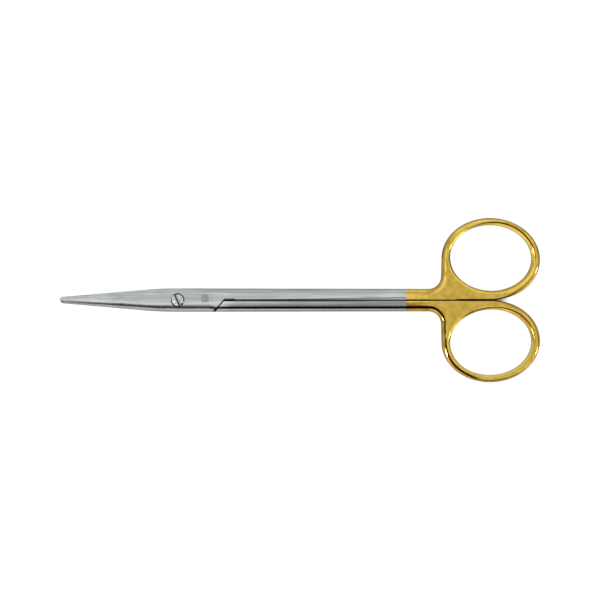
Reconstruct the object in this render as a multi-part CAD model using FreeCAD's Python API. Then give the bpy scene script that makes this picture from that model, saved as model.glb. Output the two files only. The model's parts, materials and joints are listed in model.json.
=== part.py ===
"""Dissecting scissors, 145 mm long, with curved blades and gold-plated finger rings.

Millimetres. +X runs from the blade tips to the rings and +Z is up. The scissors lie closed
on the flat undersides of their shanks and rings. The origin is under the middle of the
closed scissors, on the surface that they lie on. Each half is one forging. Both are drawn
as the upper half, and the lower one is then turned over about the long axis.
"""
import FreeCAD, Part
import os
from math import asin, atan2, cos, hypot, pi, radians, sin, sqrt, tan

Vector = FreeCAD.Vector

# Whole scissors
overall_length = 145.0
thickness = 4.0
lap_gap = 0.10

# Pivot and lap box
pivot_to_tip = 35.4
box_half_width = 3.57
shoulder_to_pivot = 14.0
shoulder_angle = 49.0
shoulder_gap = 0.42
shoulder_corner_radius = 0.4
shoulder_land = 3.0

# Shank
shank_half_width = 3.42
outer_rounding = 1.85
inner_rounding = 0.3
inner_lean = 0.106

# Finger ring: the hole, and the band round it at its end, far side and near side
hole_length = 24.6
hole_width = 19.8
band_at_end = 2.6
band_far = 2.2
band_near = 2.75
ring_tilt = -2.7
ring_lean = 1.5
ring_corner_radius = 3.8
ring_half_gap = 0.1
ring_rounding = 1.0
ring_neck_angle = 130.0
ring_turn_angle = 305.0
ring_neck_rounding = 1.7
hole_rounding = 0.85

# Blade
blade_root = 5.0
blade_blend_radius = 100.0
tip_offset = 0.08
tip_sharp_radius = 0.91
tip_blunt_radius = 1.08
tip_thickness = 0.9
tip_rounding = 0.6
bend_start = 8.0
bend_rise = 5.0
cutting_edge_rounding = 0.3

# Hard-metal insert along the cutting edge
insert_length = 25.0
insert_width = 1.3
insert_thickness = 0.5

# Pivot screw
screw_head_diameter = 4.1
screw_head_height = 0.75
screw_shank_diameter = 2.6
screw_recess = 0.04
screw_chamfer = 0.1
screw_radial_clearance = 0.04
screw_end_clearance = 0.03
slot_width = 0.8
slot_depth = 0.4
slot_angle = 114.5
stake_diameter = 0.7
stake_depth = 0.35
stake_angle = -45.0

# Places that follow from the sizes
tip_x = -overall_length / 2
ring_end_x = overall_length / 2
pivot = Vector(tip_x + pivot_to_tip, 0, 0)
root_x = pivot.x - blade_root
shoulder_x = pivot.x + shoulder_to_pivot
land_x = shoulder_x - shoulder_land
lap_z = (thickness + lap_gap) / 2
beyond = overall_length
tolerance = 0.001
level_enough = 0.5
up = Vector(0, 0, 1)


def turned(angle):
    """Unit vector in the plan at this angle in degrees."""
    return Vector(cos(radians(angle)), sin(radians(angle)), 0)


def ellipse(centre, length, width):
    """Ellipse in the plan, tilted with the ring."""
    end = centre + turned(ring_tilt) * (length / 2)
    side = centre + turned(ring_tilt + 90) * (width / 2)
    return Part.Ellipse(end, side, centre)


def outermost(centre, length, width, angle):
    """Point of the tilted ellipse that lies furthest out in this direction."""
    along = length / 2 * cos(radians(angle - ring_tilt))
    across = width / 2 * sin(radians(angle - ring_tilt))
    reach = hypot(along, across)
    offset = turned(ring_tilt) * (along * length / 2) + turned(ring_tilt + 90) * (across * width / 2)
    return centre + offset / reach


def side_line(x):
    """Half width of the closed scissors beside the shank and the lap box."""
    share = (x - root_x) / (ring_corner_x - root_x)
    return box_half_width + (shank_half_width - box_half_width) * share


def shoulder_line(y, side):
    """Place along X of the sloping shoulder, to the left (-1) or right (1) of its gap."""
    slope = radians(shoulder_angle)
    return shoulder_x + y / tan(slope) + side * shoulder_gap / 2 / sin(slope)


def inner_line(x):
    """Point on the inside of the shank, which leaves the middle slowly towards the shoulder."""
    return Vector(x, ring_near.y + (ring_near.x - x) * tan(radians(inner_lean)), 0)


def outline(curves):
    """Face bounded by these curves."""
    return Part.Face(Part.Wire(Part.__sortEdges__([curve.toShape() for curve in curves])))


# Ring places
outer_length = hole_length + 2 * band_at_end
outer_width = hole_width + band_far + band_near
zero = Vector(0, 0, 0)
ring_centre = Vector(
    ring_end_x - outermost(zero, outer_length, outer_width, 0).x,
    ring_half_gap - outermost(zero, outer_length, outer_width, 270).y,
    0,
)
hole_centre = ring_centre + Vector(0, (band_near - band_far) / 2, 0)
ring_left = outermost(ring_centre, outer_length, outer_width, 180 - ring_lean)
ring_near = outermost(ring_centre, outer_length, outer_width, 270 - inner_lean)
ring_neck = outermost(ring_centre, outer_length, outer_width, ring_neck_angle)
ring_turn = outermost(ring_centre, outer_length, outer_width, ring_turn_angle)
ring_corner_x = ring_left.x - (ring_left.y - shank_half_width) * tan(radians(ring_lean))


def tangent_point(corner, centre, radius, side):
    """Point where the line from a corner touches an arc of the tip, above (1) or below (-1)."""
    run = corner.x - centre.x
    rise = side * (corner.y - centre.y)
    angle = atan2(rise, run) - asin(radius / hypot(run, rise))
    return centre + Vector(-radius * sin(angle), side * radius * cos(angle), 0)


def tip_arc(root, radius, direction, side):
    """Arc of the tip from its foremost point to where it touches the blade's side."""
    front = Vector(tip_x, direction * tip_offset, 0)
    centre = front + Vector(radius, 0, 0)
    touch = tangent_point(root, centre, radius, side)
    middle = (front - centre) + (touch - centre)
    return Part.Arc(front, centre + middle * (radius / middle.Length), touch)


def corner_arc(before, corner, after, radius):
    """Arc that touches both straight sides of a corner."""
    first = (before - corner).normalize()
    second = (after - corner).normalize()
    half_angle = first.getAngle(second) / 2
    reach = radius / tan(half_angle)
    middle = (first + second).normalize() * (radius / sin(half_angle) - radius)
    return Part.Arc(corner + first * reach, corner + middle, corner + second * reach)


def path(stops):
    """Straight edges through (point, radius) stops, with an arc at each stop that has a radius."""
    edges = []
    start = stops[0][0]
    for (corner, radius), (after, _) in zip(stops[1:], stops[2:]):
        if radius:
            arc = corner_arc(start, corner, after, radius)
            edges += [Part.LineSegment(start, arc.StartPoint), arc]
            start = arc.EndPoint
        else:
            edges.append(Part.LineSegment(start, corner))
            start = corner
    return [*edges, Part.LineSegment(start, stops[-1][0])]


def side_point(x, side):
    """Point on the outside of the closed scissors, on the upper (1) or the lower (-1) side."""
    return Vector(x, side * side_line(x), 0)


# Blade places
edge_root = side_point(root_x, 1)
back_root = side_point(root_x, -1)


def tip_arcs(direction):
    """Arcs of the tip towards its edge and its back. Closed, both tips have one outline."""
    radii = [tip_sharp_radius, tip_blunt_radius][::direction]
    edge = tip_arc(edge_root, radii[0], direction, 1)
    back = tip_arc(back_root, radii[1], direction, -1)
    return edge, back


def handle_plan():
    """Shank and ring seen from above, with the shank carried on to the pivot."""
    ring = ellipse(ring_centre, outer_length, outer_width)
    shank = [
        (ring_left, 0),
        (side_point(ring_corner_x, 1), ring_corner_radius),
        (side_point(pivot.x, 1), 0),
        (inner_line(pivot.x), 0),
        (ring_near, 0),
    ]
    near, turn, neck, left = [ring.parameter(point) for point in (ring_near, ring_turn, ring_neck, ring_left)]
    stretches = [(near - 2 * pi, turn - 2 * pi), (turn - 2 * pi, neck), (neck, left)]
    band = [Part.ArcOfEllipse(ring, start, end) for start, end in stretches]
    hole = Part.Wire(ellipse(hole_centre, hole_length, hole_width).toShape())
    return outline([*path(shank), *band]).cut(Part.Face(hole)).Faces[0]


def blade_plan(direction):
    """Blade and lap box seen from above, as far as the start of the shank."""
    edge, back = tip_arcs(direction)
    sides = [
        (edge.EndPoint, 0),
        (edge_root, blade_blend_radius),
        (side_point(land_x, 1), 0),
        (side_point(shoulder_x, 1), 0),
        (side_point(shoulder_x, -1), 0),
        (back_root, blade_blend_radius),
        (back.EndPoint, 0),
    ]
    return outline([*path(sides), back, edge])


def bent(base, rise, distance):
    """Height at a distance from the pivot of a line that bends by this rise at the tip."""
    run = pivot_to_tip - bend_start
    radius = (run ** 2 + rise ** 2) / (2 * abs(rise))
    height = radius - sqrt(radius ** 2 - (distance - bend_start) ** 2)
    return base + (height if rise > 0 else -height)


def blade_band(bottom, bottom_rise, top, top_rise):
    """Ring of revolution about the pivot axis between two bent lines, ahead of the pivot."""
    end = pivot_to_tip + tip_blunt_radius
    middle = (bend_start + end) / 2

    def place(distance, height):
        return Vector(pivot.x - distance, 0, height)

    def bend(base, rise):
        points = [place(distance, bent(base, rise, distance)) for distance in (bend_start, middle, end)]
        return Part.Arc(*points)

    edges = [
        Part.LineSegment(place(0, bottom), place(bend_start, bottom)),
        bend(bottom, bottom_rise),
        Part.LineSegment(place(end, bent(bottom, bottom_rise, end)), place(end, bent(top, top_rise, end))),
        bend(top, top_rise),
        Part.LineSegment(place(bend_start, top), place(0, top)),
        Part.LineSegment(place(0, top), place(0, bottom)),
    ]
    section = outline(edges)
    section.rotate(pivot, up, -90)
    return section.revolve(pivot, up, 180)


def handle_rounding(point):
    """Radius of the rounding at a point of the handle's outline."""
    place = Vector(point.x, point.y, 0)
    if place.y < shank_half_width / 2:
        return inner_rounding
    if min(place.distanceToPoint(ring_turn), place.distanceToPoint(ring_neck)) < tolerance:
        return ring_rounding
    if place.distanceToPoint(hole_centre) < hole_length / 2 + tolerance:
        return hole_rounding
    return ring_neck_rounding if place.x > ring_corner_x - ring_corner_radius / 2 else outer_rounding


def blade_rounding(point):
    """Radius of the rounding at a point of the blade's outline."""
    if point.x < tip_x + 2 * tip_blunt_radius and (point.y < 0 or point.x < tip_x + tolerance):
        return tip_rounding
    on_edge = point.y > 0 and point.x < land_x - tolerance
    return cutting_edge_rounding if on_edge else outer_rounding


def facing_up(face):
    """How far a face looks up: 1 for level faces, 0 for upright ones and -1 for undersides."""
    u_first, u_last, v_first, v_last = face.ParameterRange
    return face.normalAt((u_first + u_last) / 2, (v_first + v_last) / 2).z


def round_rim(solid, open_end, radius_at, sides):
    """Round the rims between level and upright faces, apart from those at the open end.

    Sides is 1 for the upper rim alone, or -1 and 1 for both. Edges whose radius grows come
    first, so that the steady ones beside them have the last word on where they meet.
    """
    document = FreeCAD.newDocument("rounding")
    base = document.addObject("Part::Feature", "base")
    base.Shape = solid
    rounded = document.addObject("Part::Fillet", "rounded")
    rounded.Base = base
    rows = []
    for number, edge in enumerate(solid.Edges, start=1):
        looks = sorted((facing_up(face) for face in solid.ancestorsOfType(edge, Part.Face)), key=abs)
        start = edge.valueAt(edge.FirstParameter)
        end = edge.valueAt(edge.LastParameter)
        at_end = max(abs(start.x - open_end), abs(end.x - open_end)) < tolerance
        on_rim = abs(looks[0]) < tolerance and any(looks[-1] * side > level_enough for side in sides)
        if on_rim and not at_end:
            rows.append((number, radius_at(start), radius_at(end)))
    rounded.Edges = sorted(rows, key=lambda row: row[1] == row[2])
    document.recompute()
    shape = rounded.Shape.Solids[0]
    FreeCAD.closeDocument(document.Name)
    return shape


def cylinder(diameter, bottom, top, centre=pivot):
    """Upright cylinder between two heights."""
    return Part.makeCylinder(diameter / 2, top - bottom, centre + up * bottom)


def slice_of(face, bottom, top):
    """Upright prism on a face of the plan, between two heights."""
    return face.translated(up * bottom).extrude(up * (top - bottom))


def rounded_handle():
    """Shank and ring, rounded on both faces."""
    return round_rim(slice_of(handle_plan(), 0, thickness), pivot.x, handle_rounding, (-1, 1))


def rounded_blade(direction):
    """Lap box and blade, rounded on the outer face. The blade bends up (1) or down (-1)."""
    column = slice_of(blade_plan(direction), -beyond, beyond)
    slab = Part.makeBox(beyond, 2 * beyond, thickness - lap_z, Vector(pivot.x, -beyond, lap_z))
    taper = thickness - lap_z - tip_thickness
    band = blade_band(lap_z, direction * bend_rise, thickness, direction * bend_rise - taper)
    solid = column.common(band).fuse(column.common(slab)).Solids[0]
    return round_rim(solid, shoulder_x, blade_rounding, (1,))


def insert_room(direction):
    """Strip along the cutting edge that the hard-metal insert fills."""
    edge_touch = tip_arcs(direction)[0].EndPoint
    along = (edge_root - edge_touch).normalize()
    inward = Vector(along.y, -along.x, 0) * insert_width
    front = edge_touch - along * tip_blunt_radius
    back = front + along * insert_length
    corners = [front + inward, back + inward, back - inward, front - inward]
    strip = slice_of(outline(path([(corner, 0) for corner in [*corners, corners[0]]])), -beyond, beyond)
    rise = direction * bend_rise
    return strip.common(blade_band(lap_z, rise, lap_z + insert_thickness, rise))


def shoulder_cut():
    """What the lap box loses beyond its sloping shoulder, on the other half's side."""
    side = 2 * box_half_width
    right = shoulder_x + shoulder_gap
    inner = inner_line(shoulder_x).y
    stops = [
        (Vector(right, inner, 0), 0),
        (Vector(shoulder_line(inner, -1), inner, 0), shoulder_corner_radius),
        (Vector(shoulder_line(-side, -1), -side, 0), 0),
        (Vector(right, -side, 0), 0),
        (Vector(right, inner, 0), 0),
    ]
    return slice_of(outline(path(stops)), 0, thickness)


def lap_cut():
    """What the handle loses to the other half's lap box and to its own."""
    side = 2 * box_half_width
    left = pivot.x - box_half_width
    under = [
        Vector(left, side, 0),
        Vector(left, -side, 0),
        Vector(2 * shoulder_x - shoulder_line(-side, -1), -side, 0),
        Vector(2 * shoulder_x - shoulder_line(side, -1), side, 0),
        Vector(left, side, 0),
    ]
    over = Part.makeBox(shoulder_x - left, 2 * side, thickness, Vector(left, -side, lap_z))
    return slice_of(outline(path([(corner, 0) for corner in under])), -lap_z, lap_z).fuse(over)


def half(direction):
    """One forging without its screw hole, its insert taken out, and the insert."""
    blade = rounded_blade(direction).cut(shoulder_cut())
    room = insert_room(direction)
    forging = rounded_handle().cut(lap_cut()).fuse(blade.cut(room))
    return forging.removeSplitter().Solids[0], blade.common(room).Solids[0]


def turned_over(shape):
    """The shape turned over about the long axis, which makes the lower half of an upper one."""
    return shape.rotated(up * (thickness / 2), Vector(1, 0, 0), 180)


def screw_seat():
    """Hole in the upper half in which the screw's head and shank turn."""
    shank = cylinder(screw_shank_diameter + 2 * screw_radial_clearance, 0, thickness)
    floor = thickness - screw_recess - screw_head_height - screw_end_clearance
    return shank.fuse(cylinder(screw_head_diameter + 2 * screw_radial_clearance, floor, 2 * thickness))


def pivot_screw():
    """Slotted screw, level with the upper half's outer face and staked at its rim."""
    top = thickness - screw_recess
    under_head = top - screw_head_height
    head = cylinder(screw_head_diameter, under_head, top)
    rim = [edge for edge in head.Edges if abs(edge.CenterOfMass.z - top) < tolerance]
    head = head.makeChamfer(screw_chamfer, rim)
    screw = head.fuse(cylinder(screw_shank_diameter, screw_recess, under_head))
    corner = Vector(pivot.x - screw_head_diameter, -slot_width / 2, top - slot_depth)
    slot = Part.makeBox(2 * screw_head_diameter, slot_width, thickness, corner)
    slot.rotate(pivot, up, slot_angle)
    stake_centre = pivot + turned(stake_angle) * (screw_head_diameter / 2)
    stake = cylinder(stake_diameter, top - stake_depth, thickness, stake_centre)
    return screw.cut(slot).cut(stake).removeSplitter().Solids[0]


def main():
    """Write each piece where it lies in the closed scissors."""
    upper_half, upper_insert = half(1)
    lower_half, lower_insert = half(-1)
    thread = cylinder(screw_shank_diameter, -thickness, thickness)
    pieces = {
        "upper_half": upper_half.cut(screw_seat()).Solids[0],
        "upper_carbide_insert": upper_insert,
        "lower_half": turned_over(lower_half).cut(thread).Solids[0],
        "lower_carbide_insert": turned_over(lower_insert),
        "pivot_screw": pivot_screw(),
    }
    os.makedirs("parts", exist_ok=True)
    for name, shape in pieces.items():
        shape.exportStep(f"parts/{name}.step")


if __name__ == "__main__":
    main()
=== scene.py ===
"""Looks of a pair of fine dissecting scissors: brushed steel, gold-plated rings and soft light.

Laid out as a Blender add-on and run as a script. Everything is in metres, in the part's own
frame: +X from the blade tips to the rings, +Z up, the scissors lying closed on the floor. The
finishes work in millimetres on the pieces themselves.
"""

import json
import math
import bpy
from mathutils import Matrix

bl_info = {
    "name": "Dissecting Scissors",
    "version": (1, 0, 0),
    "blender": (4, 5, 0),
    "location": "3D View > Sidebar > Scissors",
    "description": "Dresses a pair of dissecting scissors and lights them like a studio picture",
    "category": "Object",
}

from types import SimpleNamespace

import bpy
from bpy.props import FloatProperty, FloatVectorProperty, PointerProperty

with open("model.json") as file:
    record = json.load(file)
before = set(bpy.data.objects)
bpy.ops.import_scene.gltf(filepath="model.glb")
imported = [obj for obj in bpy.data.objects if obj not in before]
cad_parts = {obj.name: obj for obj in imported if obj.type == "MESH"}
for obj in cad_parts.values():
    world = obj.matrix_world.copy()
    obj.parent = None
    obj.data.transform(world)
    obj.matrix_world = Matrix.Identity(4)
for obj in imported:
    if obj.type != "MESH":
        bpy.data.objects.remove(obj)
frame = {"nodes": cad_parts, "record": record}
bpy.context.view_layer.update()

MM = 0.001
PIVOT = frame["record"]["behaviour"]["joints"][0]["pos_m"]

# Upper finger hole: its centre and radii in metres and its turn in degrees. The lower is its mirror.
HOLE_CENTRE = (0.0576, 0.01275)
HOLE_RADII = (0.0123, 0.0099)
HOLE_TILT = -2.7

# Half the height of the closed scissors, where the halves meet, in millimetres.
MIDDLE = 2.0
# The blades curve up from here to the tips, by this much times the distance squared, in millimetres.
CURVE_START = -45.1
CURVE_RISE = 0.00666
# Place of the sloping shoulders on the centre line in millimetres, and their slope in degrees.
SHOULDER = -23.1
SHOULDER_SLOPE = 49.0

# Marks on the screw's head: places right and ahead of its centre, in millimetres. The stake notch is painted
# dark as shade; the dent, which is also bumped, and the glints get painted highlights, and each glint also
# gives its reach.
SLOT_SLOPE = 24.5
STAKE_NOTCH = (1.38, -1.24)
DENT = (-1.40, -0.75)
GLINTS = ((-1.62, -0.85, 0.22), (-0.88, -0.42, 0.20), (1.92, -1.18, 0.16), (-0.55, -1.35, 0.18))

# Near black of painted shade in the gaps between the halves and in the screw's slot corner, rim and stake
# notch.
SHADE_BLACK = (0.012, 0.011, 0.010)
# Dark red of a painted reflection on the gold: on the ring roundings, low on the shank and where the rings
# part.
REFLECTED_RED = (0.38, 0.070, 0.014)
# Directions of the ring roundings that get the painted red reflection: azimuth and angle from upright, in
# degrees.
RED_REFLECTION_AIMS = ((266.0, 21.0), (222.0, 21.5))

# Lights all round: azimuth and angle from upright, inner and outer width in degrees, and strength.
GLOWS = ((140, 38, 8, 28, 0.5), (-38, 80, 8, 22, 1.5), (240, 88, 22, 45, 0.35))
WINDOWS = ((-18, 62, 3.5, 6, 34.0), (199, 62, 3.5, 6, 34.0))
# Dark flags, given alike, with the share of the light that each takes away.
FLAGS = ((268, 42, 20, 27, 1.0), (188, 43, 12, 18, 0.95), (224, 43, 20, 28, 0.72), (266, 36, 26, 36, 0.30))

# Point that the camera looks down on, width of its sensor in millimetres, and play under the scissors.
VIEW_POINT = (-0.00011, 0.00003, 0.0035)
SENSOR_WIDTH = 36.0
FLOOR_HEIGHT = -0.00002


class SteelSettings(bpy.types.PropertyGroup):
    """Finish of the forged steel."""

    colour: FloatVectorProperty(
        name="Steel colour",
        description="Reflected colour of the satin steel",
        subtype="COLOR",
        default=(0.60, 0.628, 0.634),
        min=0.0,
        max=1.0,
    )
    roughness: FloatProperty(
        name="Roughness",
        description="How satin the roundings are; the flats are more so",
        subtype="FACTOR",
        default=0.13,
        min=0.05,
        max=1.0,
    )
    grain_depth: FloatProperty(
        name="Grain depth",
        description="Depth of the lengthwise brushing",
        unit="LENGTH",
        default=0.0000012,
        min=0.0,
        max=0.0001,
        precision=7,
    )


class GoldSettings(bpy.types.PropertyGroup):
    """Finish of the gold plating."""

    start: FloatProperty(
        name="Start of plating",
        description="Place along the shanks where the plating starts",
        unit="LENGTH",
        default=0.032,
        precision=4,
    )
    colour: FloatVectorProperty(
        name="Gold colour",
        description="Reflected colour of the plating",
        subtype="COLOR",
        default=(0.67, 0.482, 0.078),
        min=0.0,
        max=1.0,
    )
    roughness: FloatProperty(
        name="Roughness",
        description="How satin the plating is on the roundings",
        subtype="FACTOR",
        default=0.12,
        min=0.05,
        max=1.0,
    )


class StudioSettings(bpy.types.PropertyGroup):
    """Light, floor and camera."""

    lens: FloatProperty(
        name="Lens",
        description="Focal length in millimetres",
        default=200.0,
        min=20.0,
    )
    frame_width: FloatProperty(
        name="Picture width",
        description="Width of the floor that the picture takes in",
        unit="LENGTH",
        default=0.1814,
        precision=4,
    )
    floor_size: FloatProperty(
        name="Floor size",
        description="Side of the square floor",
        unit="LENGTH",
        default=3.0,
    )
    light: FloatProperty(
        name="Light",
        description="Strength of the soft light all round",
        default=1.0,
        min=0.0,
    )


class Value:
    """A shader socket that takes part in arithmetic."""

    def __init__(self, finish, socket):
        self.finish = finish
        self.socket = socket

    def _math(self, operation, first, second=None):
        values = {0: first} if second is None else {0: first, 1: second}
        return self.finish.node("ShaderNodeMath", {"operation": operation}, values)

    def __add__(self, other):
        return self._math("ADD", self, other)

    __radd__ = __add__

    def __sub__(self, other):
        return self._math("SUBTRACT", self, other)

    def __rsub__(self, other):
        return self._math("SUBTRACT", other, self)

    def __mul__(self, other):
        return self._math("MULTIPLY", self, other)

    __rmul__ = __mul__

    def __truediv__(self, other):
        return self._math("DIVIDE", self, other)

    def __pow__(self, other):
        return self._math("POWER", self, other)

    def __abs__(self):
        return self._math("ABSOLUTE", self)

    def beside(self, name):
        """Another output of the same node."""
        return Value(self.finish, self.socket.node.outputs[name])


class Finish:
    """A procedural material, or the light all round, built node by node."""

    def __init__(self, tree):
        self.tree = tree
        self.tree.nodes.clear()

    def node(self, kind, settings=None, inputs=None, output=0):
        """Adds a node, sets it up, feeds its sockets and returns one of its outputs."""
        node = self.tree.nodes.new(kind)
        for name, setting in (settings or {}).items():
            setattr(node, name, setting)
        for name, value in (inputs or {}).items():
            socket = node.inputs[name]
            if isinstance(value, Value):
                self.tree.links.new(value.socket, socket)
            elif socket.type == "RGBA":
                socket.default_value = (*value[:3], 1.0)
            else:
                socket.default_value = value
        return Value(self, node.outputs[output]) if node.outputs else None

    def mix(self, first, second, share):
        """Colour between two colours."""
        return self.node("ShaderNodeMix", {"data_type": "RGBA"}, {0: share, 6: first, 7: second}, 2)

    def step(self, value, low, high):
        """Smooth step from 0 to 1 as the value goes from low to high."""
        inputs = {"Value": value, "From Min": low, "From Max": high}
        return self.node("ShaderNodeMapRange", {"interpolation_type": "SMOOTHSTEP"}, inputs)

    def until(self, value, low, high):
        """Smooth step from 1 to 0 as the value goes from low to high."""
        return 1.0 - self.step(value, low, high)

    def near(self, value, inner, outer):
        """1 where the value is within inner of nought, and 0 where it is beyond outer."""
        return self.until(abs(value), inner, outer)

    def least(self, first, second):
        """The lower of two values."""
        return self.node("ShaderNodeMath", {"operation": "MINIMUM"}, {0: first, 1: second})

    def most(self, highest, *others):
        """The highest of some values."""
        for other in others:
            highest = self.node("ShaderNodeMath", {"operation": "MAXIMUM"}, {0: highest, 1: other})
        return highest

    def vector(self, x, y, z):
        """A vector from its three values."""
        return self.node("ShaderNodeCombineXYZ", None, {"X": x, "Y": y, "Z": z})

    def noise(self, vector, scale=1.0, detail=2.0, roughness=0.5):
        """Soft noise from 0 to 1."""
        inputs = {"Vector": vector, "Scale": scale, "Detail": detail, "Roughness": roughness}
        return self.node("ShaderNodeTexNoise", None, inputs)


def shade(colour, *shares):
    """A lighter or darker shade of a colour, by one share or by three."""
    return tuple(min(part * share, 1.0) for part, share in zip(colour, shares * 3))


def distance(right, ahead):
    """Length of a step to the right and ahead."""
    return (right ** 2.0 + ahead ** 2.0) ** 0.5


def material(name, build):
    """Makes a material and lets build wire it up."""
    made = bpy.data.materials.new(name)
    made.use_nodes = True
    build(Finish(made.node_tree))
    return made


def surface(finish, sockets):
    """Wires the values into one surface."""
    shader = finish.node("ShaderNodeBsdfPrincipled", None, sockets)
    finish.node("ShaderNodeOutputMaterial", None, {"Surface": shader})


def bump(finish, height, depth, normal=None):
    """Normals raised by a height, on top of other normals where they are given."""
    sockets = {"Distance": depth, "Height": height}
    if normal:
        sockets["Normal"] = normal
    return finish.node("ShaderNodeBump", None, sockets)


def place(finish):
    """Coordinates on the piece, in millimetres, as three values."""
    point = finish.node("ShaderNodeTexCoord", None, None, "Object")
    x = finish.node("ShaderNodeSeparateXYZ", None, {"Vector": point})
    return [x.beside(axis) * 1000.0 for axis in "XYZ"]


def towards(finish, direction, azimuth, polar):
    """Cosine of the angle between a direction and an aim given by two angles."""
    a, p = math.radians(azimuth), math.radians(polar)
    aim = (math.cos(a) * math.sin(p), math.sin(a) * math.sin(p), math.cos(p))
    return finish.node("ShaderNodeVectorMath", {"operation": "DOT_PRODUCT"}, {0: direction, 1: aim}, "Value")


def blade_half_width(finish, x):
    """Half width of the blade and box at x."""
    return finish.least(3.55, (x + 42.1) * 0.0874 + 3.57)


def ring_place(finish, x, y):
    """Distance beyond the edge of a ring's hole, and the outward direction there as x and y."""
    turn = math.radians(HOLE_TILT)
    half_length, half_width = HOLE_RADII[0] / MM, HOLE_RADII[1] / MM
    right = x - HOLE_CENTRE[0] / MM
    ahead = abs(y) - HOLE_CENTRE[1] / MM
    along = right * math.cos(turn) + ahead * math.sin(turn)
    across = ahead * math.cos(turn) - right * math.sin(turn)
    from_centre = distance(along, across)
    off = from_centre - from_centre / distance(along / half_length, across / half_width)
    out_x, out_y = along / half_length ** 2, across / half_width ** 2
    length = distance(out_x, out_y)
    half = finish.step(y, -0.05, 0.05) * 2.0 - 1.0
    return off, out_x / length, out_y / length * half


class Spot:
    """A spot on a forged half: where it lies, which way it leans and what part of the half it is on."""

    def __init__(self, finish):
        self.x, self.y, self.z = place(finish)
        facing = finish.node("ShaderNodeTexCoord", None, None, "Normal")
        lean = finish.node("ShaderNodeSeparateXYZ", None, {"Vector": facing})
        self.lean_x, self.lean_y, self.lean_z = [lean.beside(axis) for axis in "XYZ"]
        self.level = abs(self.lean_z)
        # 1 on the face that is up when the scissors lie closed, -1 on the one that is down.
        rise = finish.least(self.x - CURVE_START, 0.0) ** 2.0 * CURVE_RISE
        self.face = finish.step(self.z - rise, MIDDLE - 0.1, MIDDLE + 0.1) * 2.0 - 1.0
        self.aside = self.y * self.face
        self.upper = finish.step(self.y, -1.0, 1.0)
        self.half_width = blade_half_width(finish, self.x)
        # Place beside the finger hole, and how far the surface leans away from the hole.
        self.ring_x = self.x - HOLE_CENTRE[0] / MM
        self.off, self.out_x, self.out_y = ring_place(finish, self.x, self.y)
        self.outward = self.out_x * self.lean_x + self.out_y * self.lean_y
        # Stretches of the half.
        self.flat = finish.step(self.level, 0.985, 0.9995)
        self.shank = finish.step(self.x, -23.0, -19.0)
        self.near_ring = finish.step(self.x, 37.0, 41.0)
        self.web = finish.step(self.level, 0.994, 0.9995) * self.near_ring
        self.far_arc = finish.step(abs(self.y), 9.5, 12.5) * finish.step(self.ring_x, -1.0, -7.0)


def grain_of(finish, spot):
    """The patterns that brushing, plating and use have left on a half."""
    x, y, z = spot.x, spot.y, spot.z
    return SimpleNamespace(
        fine=finish.noise(finish.vector(x * 0.3, y * 7.0, z * 7.0), 1.0, 3.0, 0.6),
        streaks=finish.noise(finish.vector(x * 0.06, y * 2.4, z * 2.4), 1.0, 2.0, 0.55),
        cloud=finish.noise(finish.vector(x * 0.12, y * 0.35, z * 0.35), 1.0, 2.0, 0.5),
        mottle=finish.noise(finish.vector(x, y, z), 0.55, 3.0, 0.5),
        grit=finish.noise(finish.vector(x, y, z), 2.2, 3.0, 0.6),
        round_ring=finish.noise(finish.vector(x * 0.10, y * 0.10, spot.off * 2.6), 1.0, 2.0, 0.55),
        scratches=scratched(finish, x, y, z),
    )


def scratched(finish, x, y, z):
    """Sparse hair scratches in two directions, 1 on a scratch."""
    hairs = []
    for angle, seed in ((24.0, 3.0), (-61.0, 11.0)):
        c, s = math.cos(math.radians(angle)), math.sin(math.radians(angle))
        along = x * c + y * s
        across = y * c - x * s
        lines = finish.noise(finish.vector(along * 0.25 + seed, across * 9.0, z * 0.4 + seed), 1.0, 1.0, 0.5)
        hairs.append(finish.step(lines, 0.73, 0.76))
    return finish.most(*hairs)


def marks_of(finish, spot):
    """Masks of some places of a half, 1 on each mark: the maker's matt flats and etched square, a partly
    painted highlight along blade and box, painted shade in the shoulder gaps and a painted highlight on the
    edge beside them.
    """
    shoulder_shade, shoulder_highlight = shoulder_gap(finish, spot)
    return SimpleNamespace(
        matt=finish.most(ground_flat(finish, spot), spot.web),
        stripe=polished_highlight_stripe(finish, spot),
        etched=etched_square(finish, spot),
        shoulder_shade=shoulder_shade,
        shoulder_highlight=shoulder_highlight,
    )


def ground_flat(finish, spot):
    """The matt ground flat of the blade, between its long rounding and its back."""
    rounding = finish.step(spot.x, -71.0, -44.0) * 1.25 + 0.6
    back = finish.step(spot.aside - spot.half_width, -0.45, -0.2)
    ground = finish.step(spot.aside + spot.half_width - rounding, -0.2, 0.5) * (1.0 - back)
    return ground * finish.until(spot.x, -25.0, -19.0)


def polished_highlight_stripe(finish, spot):
    """A painted highlight along the middle of the blade and box, where the steel is also smoother."""
    line = finish.least(finish.most(spot.x, -65.5) + 46.0, 0.0) * -0.042 - 0.88
    stripe = finish.near(spot.aside - line, 0.12, 0.70)
    return stripe * finish.until(spot.x, -10.0, 2.0) * (2.0 - finish.step(spot.x, -66.0, -56.0))


def etched_square(finish, spot):
    """A plain frosted square on the top of the lap box."""
    along = finish.near(spot.x + 28.8, 1.05, 1.15)
    across = finish.near(spot.y - 0.52, 1.17, 1.27)
    return along * across * finish.step(spot.z, 3.9, 3.98)


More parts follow.
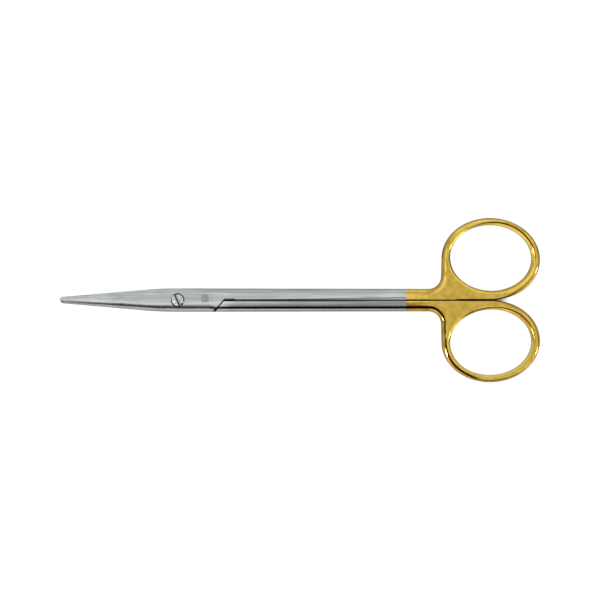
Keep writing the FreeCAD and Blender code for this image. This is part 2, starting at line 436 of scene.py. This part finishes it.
def shoulder_gap(finish, spot):
    """Painted shade inside the gaps of the sloping shoulders, and a painted highlight on the edge beside
    them.
    """
    dark, bright = [], []
    for face in (1.0, -1.0):
        aside = spot.y * face
        off = spot.x - aside / math.tan(math.radians(SHOULDER_SLOPE)) - SHOULDER
        side = finish.step(spot.z * face, face * MIDDLE - 0.15, face * MIDDLE - 0.13)
        within = finish.near(spot.z - MIDDLE, 1.80, 1.94)
        reach = finish.until(aside, 0.30, 0.55)
        # Painted shade inside each gap, and a painted highlight on the edge beside it.
        dark.append(finish.near(off, 0.38, 0.50) * within * reach * side)
        bright.append(finish.near(off - 0.42, 0.08, 0.20) * (1.0 - within) * reach * side)
    return finish.most(*dark), finish.most(*bright)


def inner_walls(finish, spot, plated):
    """Painted shade on the edges of the shanks along the gap between them."""
    wall = 0.25 - finish.step(spot.x, SHOULDER, 45.0) * 0.15
    from_wall = abs(spot.aside + 0.06 - plated * 0.04) - wall - plated * 0.08
    inside = finish.until(from_wall, 0.04, 0.09) * finish.step(spot.x, -24.0, -22.0)
    return inside * finish.step(spot.level, 0.05, 0.2)


def steel_tone(finish, spot, grain, marks):
    """Colour of the steel: streaky, with painted shade low on the shanks, along their gap and in a dark line
    beside it, and painted highlights on a stripe and beside the shoulder gaps.
    """
    steel = bpy.context.scene.scissors_steel
    tone = (grain.streaks - 0.5) * (3.0 - marks.matt * 1.0) + (grain.fine - 0.5) * 0.8
    tone = tone + (grain.cloud - 0.5) * 0.5
    # Painted highlights: the stripe along blade and box, and the edge beside each shoulder gap.
    tone = tone + 0.62 - marks.matt * 0.22 + marks.stripe * 0.5 + marks.shoulder_highlight * 0.9 - marks.etched * 0.55
    tone = tone - spot.shank * (0.38 - finish.step(spot.aside, 2.2, 2.6) * 0.3)
    # Painted shade: the flat of the lower shank is darker, most of all beside the gap, and a dark line runs
    # along the upper shank near the gap.
    low_side = finish.step(spot.aside, -0.15, -0.45) * finish.step(spot.aside, -2.35, -2.0) * spot.shank
    beside_gap = low_side * finish.until(spot.aside, -0.45, -0.75)
    line = finish.least((spot.x + 11.0) * 0.013, 0.52)
    upper_line = finish.near(spot.aside - 0.16 - line, 0.08, 0.24)
    upper_line = upper_line * spot.shank * finish.step(spot.x, -14.0, -6.0)
    painted_shade = low_side * (0.16 + finish.step(spot.x, -20.0, 15.0) * 0.18)
    painted_shade = painted_shade + beside_gap * 0.32 + upper_line * 0.72
    colour = finish.mix(shade(steel.colour, 0.72), shade(steel.colour, 1.12), tone)
    return finish.mix(colour, shade(steel.colour, 0.12), painted_shade)


def gold_tone(finish, spot, grain, red_reflection):
    """Colour of the plating: mottled and streaked round the rings, with painted highlights near the holes,
    in pale lines and on the shanks' outer edges, painted shade in a dark line by the holes, and a painted
    red reflection.
    """
    gold = bpy.context.scene.scissors_gold
    tone = (grain.mottle - 0.5) * (1.2 - spot.web * 0.2) + (grain.grit - 0.5) * (0.9 - spot.web * 0.6)
    band = spot.near_ring * finish.step(spot.off, 3.4, 2.6)
    tone = tone + (grain.round_ring - 0.5) * band * (3.0 - spot.web * 2.8)
    tone = tone + (grain.streaks - 0.5) * (2.6 - spot.near_ring * 2.6)
    # Painted highlight: lighter near the edge of each hole.
    tone = tone + finish.step(spot.off, 0.95, 0.55) * band * 0.5
    # Positive on the far side of a ring, negative on the side where the rings meet.
    far_side = spot.out_y * spot.y
    # Painted shade: a dark line near the edge of each hole, mostly where the rings meet.
    rim_shade_line = finish.near(spot.off - 0.36, 0.05, 0.22) * finish.step(far_side, 0.2, -0.4)
    tone = tone + 0.46 - spot.web * 0.10 - rim_shade_line * spot.near_ring * 0.9
    # Painted highlights: a pale line round part of each hole, and paler along the outer edge of the shanks.
    pale_highlight_line = finish.near(spot.off - 0.75 - finish.step(spot.x, 56.0, 66.0) * 0.35, 0.10, 0.34)
    pale_highlight_line = pale_highlight_line * finish.step(far_side, 0.5, -3.0) * finish.step(spot.x, 50.0, 56.0)
    pale_highlight_side = finish.step(spot.aside, 2.1, 2.6) * (1.0 - spot.near_ring)
    tone = tone + pale_highlight_line * 0.7 + pale_highlight_side * 0.7 + finish.step(spot.x, 36.0, 33.0) * 0.1
    low, high = shade(gold.colour, 0.68, 0.56, 0.40), shade(gold.colour, 1.33, 1.38, 1.90)
    return finish.mix(finish.mix(low, high, tone), REFLECTED_RED, red_reflection)


def painted_red_reflections(finish, spot, polished):
    """Where a dark red reflection is painted on the plating: on the rings' roundings, low on the shank and
    where the rings part."""
    roundings = [finish.step(towards(finish, polished, *aim), 0.966, 0.985) for aim in RED_REFLECTION_AIMS]
    along_shank = finish.step(-1.0 * spot.y - finish.most(spot.x - 34.0, 0.0) * 0.09, 0.70, 1.65)
    along_shank = along_shank * (1.0 - spot.near_ring) * finish.step(spot.y, -2.5, -2.15)
    parting = finish.step(abs(spot.y), 1.8, 0.6) * finish.step(spot.x, 46.0, 51.0)
    parting = parting * finish.step(spot.level, 0.998, 0.94) * finish.step(spot.level, 0.10, 0.45)
    parting = parting * finish.step(spot.x, 66.0, 60.0)
    return finish.most(*roundings, finish.most(along_shank, parting) * 0.9)


def forged_finish(finish):
    """Brushed steel that turns to gold plating along the shanks."""
    steel = bpy.context.scene.scissors_steel
    gold = bpy.context.scene.scissors_gold
    spot = Spot(finish)
    grain = grain_of(finish, spot)
    marks = marks_of(finish, spot)
    polished = hand_polished(finish, spot)

    start = gold.start / MM
    plated = finish.step(spot.x + (grain.cloud - 0.5) * 0.2, start - 0.08, start + 0.08)
    golden = gold_tone(finish, spot, grain, painted_red_reflections(finish, spot, polished))
    colour = finish.mix(steel_tone(finish, spot, grain, marks), golden, plated)
    # Painted shade: near black in the shoulder gaps and along the inner walls of the shanks.
    gap_shade = finish.most(marks.shoulder_shade, inner_walls(finish, spot, plated) * 0.93)

    satin = finish.until(spot.x, -29.0, -21.0)
    steel_rough = steel.roughness + spot.flat * 0.10 + satin * 0.14 + marks.matt * 0.04 - marks.stripe * 0.05
    gold_rough = gold.roughness + spot.flat * 0.06 + spot.web * 0.14 + (grain.mottle - 0.5) * 0.06
    rough = steel_rough + (gold_rough - steel_rough) * plated + marks.shoulder_shade * 0.3 + grain.scratches * 0.08
    rough = rough + (grain.fine - 0.5) * 0.06 + marks.etched * 0.3

    brushed = grain.fine * 0.6 + grain.streaks * 0.6
    relief = brushed + ((grain.round_ring * 0.25 + grain.grit * 0.25) - brushed) * plated
    relief = relief - grain.scratches * 0.5 - marks.etched * 1.5
    settings = {"vector_type": "NORMAL", "convert_from": "OBJECT", "convert_to": "WORLD"}
    turned = finish.node("ShaderNodeVectorTransform", settings, {"Vector": polished})
    surface(finish, {
        "Base Color": finish.mix(colour, SHADE_BLACK, gap_shade),
        "Metallic": 1.0,
        "Roughness": rough,
        "Normal": bump(finish, relief, steel.grain_depth, turned),
    })


def deeper_rounding(finish, spot):
    """How much further than its solid the low edge of blade, box and shank turns down."""
    radius = finish.least(2.25, (spot.x + 64.0) * 0.0365 + 1.37)
    curve = finish.least(finish.most((radius - spot.half_width - spot.aside) / radius, 0.0), 0.9)
    curve = curve * finish.until(spot.x, -27.5, -24.5)
    crown = finish.least(finish.most(-1.0 * spot.aside - 0.55, 0.0) * 0.13, 0.16)
    crown = crown * finish.step(spot.x, -25.0, -21.0) * finish.until(spot.x, 38.0, 41.0)
    already = finish.most(spot.lean_y * spot.face * -1.0, 0.0)
    return finish.most(finish.most(curve, crown) - already, 0.0) * finish.step(spot.level, 0.15, 0.4)


def flank_push(finish, spot):
    """Tilt away from the centre line of the rings' roundings on the side of the pivot."""
    flank = finish.until(spot.ring_x, -13.0, -10.5) * finish.step(abs(spot.y), 3.0, 5.0)
    push = flank * finish.step(spot.level, 0.998, 0.97)
    push = push * finish.step(spot.level + spot.upper * 0.35, 0.88, 0.95) * (0.06 + spot.upper * 0.10)
    return (spot.upper * 2.0 - 1.0) * push


def far_rounding(finish, spot):
    """Outward tilt of the far arcs of the rings, whose roundings are polished broader."""
    from_rim = 2.3 - finish.step(spot.ring_x, -6.0, -12.0) * 0.1 - spot.off
    wider = finish.least(finish.most(1.55 - from_rim, 0.0) * 0.56, 0.6)
    wider = finish.most(wider - finish.most(spot.outward, 0.0), 0.0) * spot.far_arc
    return wider * finish.step(spot.level, 0.15, 0.4)


def hole_rounding(finish, spot):
    """Normals of the broad rounding at the edge of a finger hole."""
    turn = finish.step(spot.ring_x + spot.upper * 3.0, -3.0, 9.0)
    middle = 0.60 + turn * 0.52
    spread = 0.20 + turn * 0.24
    inward = finish.step(spot.off, middle + spread, middle - spread) * 0.62
    inward = inward + finish.step(spot.off, 0.20, 0.0) * 0.25
    side = finish.step(spot.lean_z, -0.05, 0.05) * 2.0 - 1.0
    upright = (1.0 - inward ** 2.0) ** 0.5 * side
    return finish.vector(spot.out_x * inward * -1.0, spot.out_y * inward * -1.0, upright)


def hand_polished(finish, spot):
    """Normals with the slight tilts that polishing by hand leaves on blades, box, shanks and rings."""
    push_y = flank_push(finish, spot) - deeper_rounding(finish, spot) * spot.face
    inner_edge = finish.step(abs(spot.y), 0.55, 0.45) * finish.step(spot.x, -22.0, -19.0)
    inner_edge = inner_edge * finish.until(spot.x, 46.0, 50.0) * finish.step(spot.level, 0.25, 0.50)
    flatter = (spot.lean_y + push_y) * (1.0 - inner_edge)
    wider = far_rounding(finish, spot)
    tilted = finish.vector(spot.lean_x + spot.out_x * wider, flatter + spot.out_y * wider, spot.lean_z)
    zone = finish.step(spot.outward, 0.45, 0.20) * finish.step(spot.level, 0.03, 0.25)
    zone = zone * finish.step(spot.off, 1.9, 1.6) * finish.step(spot.x, 42.0, 44.0)
    zone = zone * (1.0 - spot.far_arc * finish.step(spot.off, 0.85, 1.1))
    inputs = {0: zone, 4: tilted, 5: hole_rounding(finish, spot)}
    blend = finish.node("ShaderNodeMix", {"data_type": "VECTOR"}, inputs, 1)
    return finish.node("ShaderNodeVectorMath", {"operation": "NORMALIZE"}, {0: blend}, "Vector")


def carbide_finish(finish):
    """Fine-ground hard metal, darker and finer than the steel."""
    x, y, z = place(finish)
    grind = finish.noise(finish.vector(x * 12.0, y * 0.5, z * 12.0), 1.0, 3.0, 0.6)
    cloud = finish.noise(finish.vector(x, y, z), 0.6, 2.0)
    surface(finish, {
        "Base Color": finish.mix((0.30, 0.30, 0.31), (0.42, 0.42, 0.43), cloud * 0.6 + grind * 0.4),
        "Metallic": 1.0,
        "Roughness": 0.3 + (grind - 0.5) * 0.15,
        "Normal": bump(finish, grind, 0.0000008),
    })


def screw_finish(finish):
    """Turned satin steel: fine rings round the head, painted shade in the slot, at its corner, round
    the rim and in the stake notch, and small painted glints."""
    x, y, z = place(finish)
    right, ahead = x - PIVOT[0] / MM, y
    radius = distance(right, ahead)
    turned = finish.noise(finish.vector(right * 0.5, ahead * 0.5, (radius + z) * 12.0), 1.0, 3.0, 0.6)
    cloud = finish.noise(finish.vector(x, y, z), 1.2, 3.0, 0.6)

    def mark(spot, inner, outer):
        """1 within the inner distance of a place on the head, and 0 beyond the outer one."""
        return finish.until(distance(right - spot[0], ahead - spot[1]), inner, outer)

    slope = math.radians(SLOT_SLOPE)
    across = right * math.cos(slope) + ahead * math.sin(slope)
    sunk = finish.until(z, 3.80, 3.93)
    corner = finish.step(across, -0.62, -0.44) * finish.until(across, -0.10, 0.08)
    slot = finish.step(across, -0.5, -0.4) * finish.until(across, 0.3, 0.5)
    notch = mark(STAKE_NOTCH, 0.30, 0.44)
    dent = mark(DENT, 0.15, 0.5)
    # Painted glints: the dent and the glints are mixed towards near white; the dent is also bumped and
    # smoother.
    shine = finish.most(dent, *[mark(glint, glint[2] * 0.6, glint[2] * 1.6) for glint in GLINTS])
    low_left = finish.step(right * 0.55 + ahead, -0.35, -1.3)
    high_right = finish.step(right * 0.75 + ahead, 0.5, 1.4)
    rim = finish.step(radius, 1.62, 1.78) * finish.most(low_left, high_right) * 0.9

    brightness = (cloud - 0.5) * 2.4 + 0.3 + turned * 0.4 + shine * 0.8
    tone = finish.mix((0.38, 0.39, 0.40), (0.74, 0.755, 0.76), brightness)
    tone = finish.mix(tone, (0.95, 0.96, 0.97), shine * 0.8)
    # Painted shade: the slot floor darker grey, and near black at the slot's corner, in the stake notch and
    # on parts of the rim.
    tone = finish.mix(tone, (0.30, 0.31, 0.31), slot * sunk * 0.7)
    tone = finish.mix(tone, SHADE_BLACK, finish.most(corner * sunk, notch, rim))
    surface(finish, {
        "Base Color": tone,
        "Metallic": 1.0,
        "Roughness": 0.30 + (turned - 0.5) * 0.15 - dent * 0.12,
        "Normal": bump(finish, turned + dent * 40.0, 0.000001),
    })


def dress(node, made):
    """Puts a finish on a solid's slots."""
    slots = frame["nodes"][node].material_slots
    if not slots:
        raise RuntimeError(f"{node} has no material slot")
    for slot in slots:
        slot.material = made


class SCISSORS_OT_dress_halves(bpy.types.Operator):
    """Gives both forged halves their brushed steel and gold plating"""

    bl_idname = "scissors.dress_halves"
    bl_label = "Dress the halves"

    def execute(self, context):
        made = material("forged_steel_and_gold", forged_finish)
        for node in ("upper_half", "lower_half"):
            dress(node, made)
        return {"FINISHED"}


class SCISSORS_OT_dress_inserts(bpy.types.Operator):
    """Gives both cutting inserts their fine-ground hard metal"""

    bl_idname = "scissors.dress_inserts"
    bl_label = "Dress the inserts"

    def execute(self, context):
        made = material("ground_hard_metal", carbide_finish)
        for node in ("upper_carbide_insert", "lower_carbide_insert"):
            dress(node, made)
        return {"FINISHED"}


class SCISSORS_OT_dress_screw(bpy.types.Operator):
    """Gives the pivot screw its turned satin steel"""

    bl_idname = "scissors.dress_screw"
    bl_label = "Dress the screw"

    def execute(self, context):
        dress("pivot_screw", material("turned_screw_steel", screw_finish))
        return {"FINISHED"}


def floor_finish(finish):
    """White paper that glows evenly, with painted shade only where a narrow gap closes it off."""
    x, y, z = place(finish)
    fibre = finish.noise(finish.vector(x, y, z), 0.8, 3.0, 0.6)
    open_sky = finish.node("ShaderNodeAmbientOcclusion", {"samples": 16}, {"Distance": 0.004}, "AO")
    # Painted shade: the glow fades out where little open sky is near, as in the gap between the shanks.
    glow = finish.step(open_sky, 0.15, 0.25)
    surface(finish, {
        "Base Color": finish.mix((0.04, 0.04, 0.04), (0.05, 0.05, 0.05), fibre),
        "Roughness": 0.9,
        "Specular IOR Level": 0.1,
        "Emission Color": finish.mix((0.0, 0.0, 0.0), (1.0, 1.0, 1.0), glow),
        "Emission Strength": 1.04,
    })


def surround(finish, strength):
    """Soft light from all round, with dark flags that draw the dark lines on the metal, and two small
    bright windows."""
    direction = finish.node("ShaderNodeTexCoord", None, None, "Generated")

    def lobe(azimuth, polar, inner, outer):
        """1 within the inner angle of an aim and 0 beyond the outer one."""
        facing = towards(finish, direction, azimuth, polar)
        return finish.step(facing, math.cos(math.radians(outer)), math.cos(math.radians(inner)))

    height = towards(finish, direction, 0, 0)
    glow = 0.44 + finish.step(height, -0.12, 0.05) * 0.22 + finish.step(height, 0.80, 0.985) * 0.38
    glow = glow * (towards(finish, direction, 90, 90) * 0.14 + 1.0) * (1.0 - lobe(0, 75, 20, 60) * 0.28)
    for *aim, share in GLOWS:
        glow = glow + lobe(*aim) * share
    unflagged = 1.0
    for *aim, share in FLAGS:
        unflagged = unflagged * (1.0 - lobe(*aim) * share)
    windows = sum(lobe(*aim) * share for *aim, share in WINDOWS)
    level = glow * unflagged + windows
    shader = finish.node("ShaderNodeBackground", None, {"Color": (1, 1, 1), "Strength": level * strength})
    finish.node("ShaderNodeOutputWorld", None, {"Surface": shader})


class SCISSORS_OT_set_stage(bpy.types.Operator):
    """Sets the pale floor, the soft light and the camera straight above"""

    bl_idname = "scissors.set_stage"
    bl_label = "Set the stage"

    def execute(self, context):
        scene = context.scene
        studio = scene.scissors_studio
        half = studio.floor_size / 2
        mesh = bpy.data.meshes.new("floor")
        corners = [(-half, -half, 0), (half, -half, 0), (half, half, 0), (-half, half, 0)]
        mesh.from_pydata(corners, [], [(0, 1, 2, 3)])
        floor = bpy.data.objects.new("floor", mesh)
        scene.collection.objects.link(floor)
        floor.data.materials.append(material("white_paper", floor_finish))
        floor.location.z = FLOOR_HEIGHT
        floor.visible_glossy = False
        world = bpy.data.worlds.new("studio")
        world.use_nodes = True
        surround(Finish(world.node_tree), studio.light)
        scene.world = world
        camera = bpy.data.objects.new("camera", bpy.data.cameras.new("camera"))
        camera.data.lens = studio.lens
        camera.data.sensor_width = SENSOR_WIDTH
        camera.data.clip_end = 10.0
        away = studio.frame_width * studio.lens / SENSOR_WIDTH
        camera.location = (VIEW_POINT[0], VIEW_POINT[1], VIEW_POINT[2] + away)
        scene.collection.objects.link(camera)
        scene.camera = camera
        scene.view_settings.view_transform = "Standard"
        return {"FINISHED"}


class SCISSORS_PT_panel(bpy.types.Panel):
    """Settings and steps of the scissors"""

    bl_idname = "SCISSORS_PT_panel"
    bl_label = "Dissecting Scissors"
    bl_space_type = "VIEW_3D"
    bl_region_type = "UI"
    bl_category = "Scissors"

    def draw(self, context):
        for group in ("scissors_steel", "scissors_gold", "scissors_studio"):
            settings = getattr(context.scene, group)
            box = self.layout.box()
            for name in settings.__annotations__:
                box.prop(settings, name)
        for operator in OPERATORS:
            self.layout.operator(operator.bl_idname)


OPERATORS = (
    SCISSORS_OT_dress_halves,
    SCISSORS_OT_dress_inserts,
    SCISSORS_OT_dress_screw,
    SCISSORS_OT_set_stage,
)
CLASSES = (SteelSettings, GoldSettings, StudioSettings, *OPERATORS, SCISSORS_PT_panel)


def register():
    """Makes the settings, steps and panel known."""
    for part in CLASSES:
        bpy.utils.register_class(part)
    bpy.types.Scene.scissors_steel = PointerProperty(type=SteelSettings)
    bpy.types.Scene.scissors_gold = PointerProperty(type=GoldSettings)
    bpy.types.Scene.scissors_studio = PointerProperty(type=StudioSettings)


def unregister():
    """Takes the settings, steps and panel away."""
    del bpy.types.Scene.scissors_studio
    del bpy.types.Scene.scissors_gold
    del bpy.types.Scene.scissors_steel
    for part in reversed(CLASSES):
        bpy.utils.unregister_class(part)


def main():
    """Dresses every piece and sets the stage."""
    register()
    bpy.ops.scissors.dress_halves()
    bpy.ops.scissors.dress_inserts()
    bpy.ops.scissors.dress_screw()
    bpy.ops.scissors.set_stage()
    bpy.context.view_layer.update()


if __name__ == "__main__":
    main()
